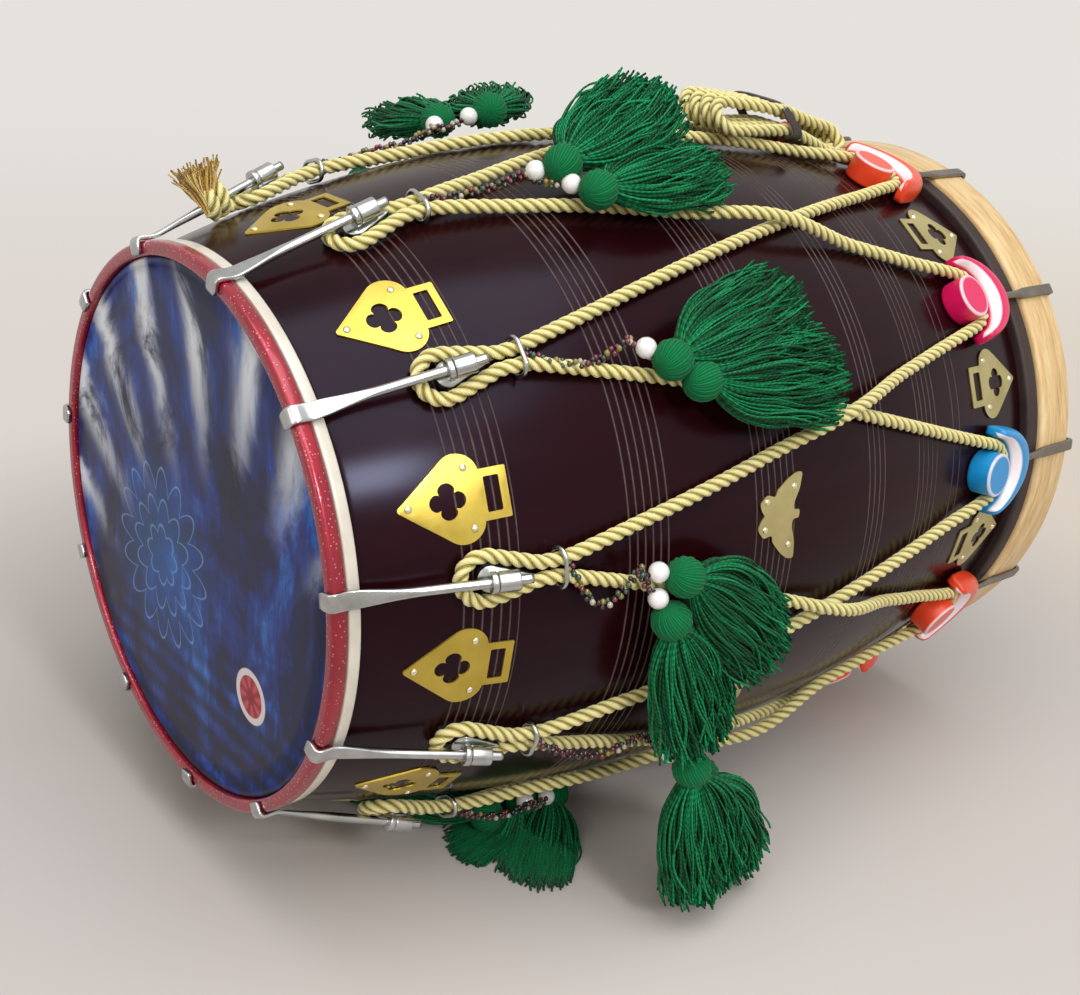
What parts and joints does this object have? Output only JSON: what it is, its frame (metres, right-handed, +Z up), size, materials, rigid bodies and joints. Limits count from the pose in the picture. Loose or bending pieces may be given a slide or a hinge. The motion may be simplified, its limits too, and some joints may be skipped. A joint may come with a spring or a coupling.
{
  "type": "dhol drum",
  "caption": "Double-headed barrel drum lying on its side, laced with one rope between claw rods with tuning nuts and hooked yokes, with sliding tension rings and tassels.",
  "frame": {"origin": "on the floor below the middle of the part's bounding box", "axes": "+X along the drum from the treble head to the bass head, +Z up, +Y to the far side of the picture"},
  "size_m": [0.6064, 0.493, 0.4784],
  "materials": {
    "lacquered_shell": "dark purple-brown gloss lacquer over turned wood",
    "film": "printed polyester drum film, satin",
    "flesh_hoop_metal": "cream enamel, gloss",
    "red_hoop": "red metallic paint, gloss",
    "skin": "stretched dark hide, lapped",
    "cane_hoop": "bent cane, satin varnish",
    "rope": "twisted nylon, pale gold",
    "steel": "bright plated steel",
    "yoke_vermilion": "moulded nylon with white bands, gloss",
    "yoke_magenta": "moulded nylon with white bands, gloss",
    "yoke_blue": "moulded nylon with white bands, gloss",
    "tassel_yarn": "green wool yarn with a white bead"
  },
  "bodies": {
    "drum": {"shell": "lacquered_shell", "treble_head": "film", "treble_flesh_hoop": "flesh_hoop_metal", "treble_counter_hoop": "red_hoop", "bass_head": "skin", "bass_counter_hoop": "cane_hoop", "lacing_rope": "rope", "spare_rope": "rope", "claw_rod_01": "steel", "claw_rod_02": "steel", "claw_rod_03": "steel", "claw_rod_04": "steel", "claw_rod_05": "steel", "claw_rod_06": "steel", "claw_rod_07": "steel", "claw_rod_08": "steel", "claw_rod_09": "steel", "claw_rod_10": "steel", "claw_rod_11": "steel", "bass_yoke_01": "yoke_blue", "bass_yoke_02": "yoke_vermilion", "bass_yoke_03": "yoke_vermilion", "bass_yoke_04": "yoke_magenta", "bass_yoke_05": "yoke_blue", "bass_yoke_06": "yoke_vermilion", "bass_yoke_07": "yoke_vermilion", "bass_yoke_08": "yoke_magenta", "bass_yoke_09": "yoke_blue", "bass_yoke_10": "yoke_vermilion", "bass_yoke_11": "yoke_vermilion", "tassel_pair_01": "tassel_yarn", "tassel_pair_02": "tassel_yarn", "tassel_pair_03": "tassel_yarn", "tassel_pair_04": "tassel_yarn", "tassel_pair_05": "tassel_yarn", "tassel_pair_06": "tassel_yarn", "tassel_pair_07": "tassel_yarn", "tassel_pair_08": "tassel_yarn"},
    "ring_01": {"slide_ring_01": "steel"},
    "nut_01": {"tuning_nut_01": "steel"},
    "ring_02": {"slide_ring_02": "steel"},
    "nut_02": {"tuning_nut_02": "steel"},
    "ring_03": {"slide_ring_03": "steel"},
    "nut_03": {"tuning_nut_03": "steel"},
    "ring_04": {"slide_ring_04": "steel"},
    "nut_04": {"tuning_nut_04": "steel"},
    "ring_05": {"slide_ring_05": "steel"},
    "nut_05": {"tuning_nut_05": "steel"},
    "ring_06": {"slide_ring_06": "steel"},
    "nut_06": {"tuning_nut_06": "steel"},
    "ring_07": {"slide_ring_07": "steel"},
    "nut_07": {"tuning_nut_07": "steel"},
    "ring_08": {"slide_ring_08": "steel"},
    "nut_08": {"tuning_nut_08": "steel"},
    "ring_09": {"slide_ring_09": "steel"},
    "nut_09": {"tuning_nut_09": "steel"},
    "ring_10": {"slide_ring_10": "steel"},
    "nut_10": {"tuning_nut_10": "steel"},
    "ring_11": {"slide_ring_11": "steel"},
    "nut_11": {"tuning_nut_11": "steel"}
  },
  "joints": [
    {"name": "ring_slide_01", "type": "slide", "parent": "drum", "child": "ring_01", "axis": [0.9767, 0.1667, 0.1352], "range_m": [-0.01, 0]},
    {"name": "nut_turn_01", "type": "hinge", "parent": "drum", "child": "nut_01", "pos_m": [-0.21353, 0.17043, 0.35171], "axis": [0.9274, 0.2905, 0.2356], "continuous": true},
    {"name": "ring_slide_02", "type": "slide", "parent": "drum", "child": "ring_02", "axis": [0.9767, 0.0671, 0.2038], "range_m": [-0.01, 0]},
    {"name": "nut_turn_02", "type": "hinge", "parent": "drum", "child": "nut_02", "pos_m": [-0.21353, 0.07638, 0.41659], "axis": [0.9274, 0.117, 0.3553], "continuous": true},
    {"name": "ring_slide_03", "type": "slide", "parent": "drum", "child": "ring_03", "axis": [0.9767, -0.0537, 0.2078], "range_m": [-0.01, 0]},
    {"name": "nut_turn_03", "type": "hinge", "parent": "drum", "child": "nut_03", "pos_m": [-0.21353, -0.03782, 0.42032], "axis": [0.9274, -0.0936, 0.3621], "continuous": true},
    {"name": "ring_slide_04", "type": "slide", "parent": "drum", "child": "ring_04", "axis": [0.9767, -0.1575, 0.1457], "range_m": [-0.01, 0]},
    {"name": "nut_turn_04", "type": "hinge", "parent": "drum", "child": "nut_04", "pos_m": [-0.21353, -0.13591, 0.36171], "axis": [0.9274, -0.2745, 0.254], "continuous": true},
    {"name": "ring_slide_05", "type": "slide", "parent": "drum", "child": "ring_05", "axis": [0.9767, -0.2113, 0.0375], "range_m": [-0.01, 0]},
    {"name": "nut_turn_05", "type": "hinge", "parent": "drum", "child": "nut_05", "pos_m": [-0.21353, -0.18674, 0.25938], "axis": [0.9274, -0.3683, 0.0653], "continuous": true},
    {"name": "ring_slide_06", "type": "slide", "parent": "drum", "child": "ring_06", "axis": [0.9767, -0.198, -0.0827], "range_m": [-0.01, 0]},
    {"name": "nut_turn_06", "type": "hinge", "parent": "drum", "child": "nut_06", "pos_m": [-0.21353, -0.17418, 0.14581], "axis": [0.9274, -0.3451, -0.1442], "continuous": true},
    {"name": "ring_slide_07", "type": "slide", "parent": "drum", "child": "ring_07", "axis": [0.9767, -0.1218, -0.1766], "range_m": [-0.01, 0]},
    {"name": "nut_turn_07", "type": "hinge", "parent": "drum", "child": "nut_07", "pos_m": [-0.21353, -0.10221, 0.05706], "axis": [0.9274, -0.2124, -0.3079], "continuous": true},
    {"name": "ring_slide_08", "type": "slide", "parent": "drum", "child": "ring_08", "axis": [0.9767, -0.007, -0.2145], "range_m": [-0.01, 0]},
    {"name": "nut_turn_08", "type": "hinge", "parent": "drum", "child": "nut_08", "pos_m": [-0.21353, 0.00631, 0.02131], "axis": [0.9274, -0.0122, -0.3738], "continuous": true},
    {"name": "ring_slide_09", "type": "slide", "parent": "drum", "child": "ring_09", "axis": [0.9767, 0.1101, -0.1842], "range_m": [-0.01, 0]},
    {"name": "nut_turn_09", "type": "hinge", "parent": "drum", "child": "nut_09", "pos_m": [-0.21353, 0.11693, 0.04991], "axis": [0.9274, 0.1919, -0.3211], "continuous": true},
    {"name": "ring_slide_10", "type": "slide", "parent": "drum", "child": "ring_10", "axis": [0.9767, 0.1922, -0.0955], "range_m": [-0.01, 0]},
    {"name": "nut_turn_10", "type": "hinge", "parent": "drum", "child": "nut_10", "pos_m": [-0.21353, 0.19454, 0.13377], "axis": [0.9274, 0.335, -0.1664], "continuous": true},
    {"name": "ring_slide_11", "type": "slide", "parent": "drum", "child": "ring_11", "axis": [0.9767, 0.2133, 0.0236], "range_m": [-0.01, 0]},
    {"name": "nut_turn_11", "type": "hinge", "parent": "drum", "child": "nut_11", "pos_m": [-0.21353, 0.21448, 0.24628], "axis": [0.9274, 0.3718, 0.0411], "continuous": true}
  ]
}
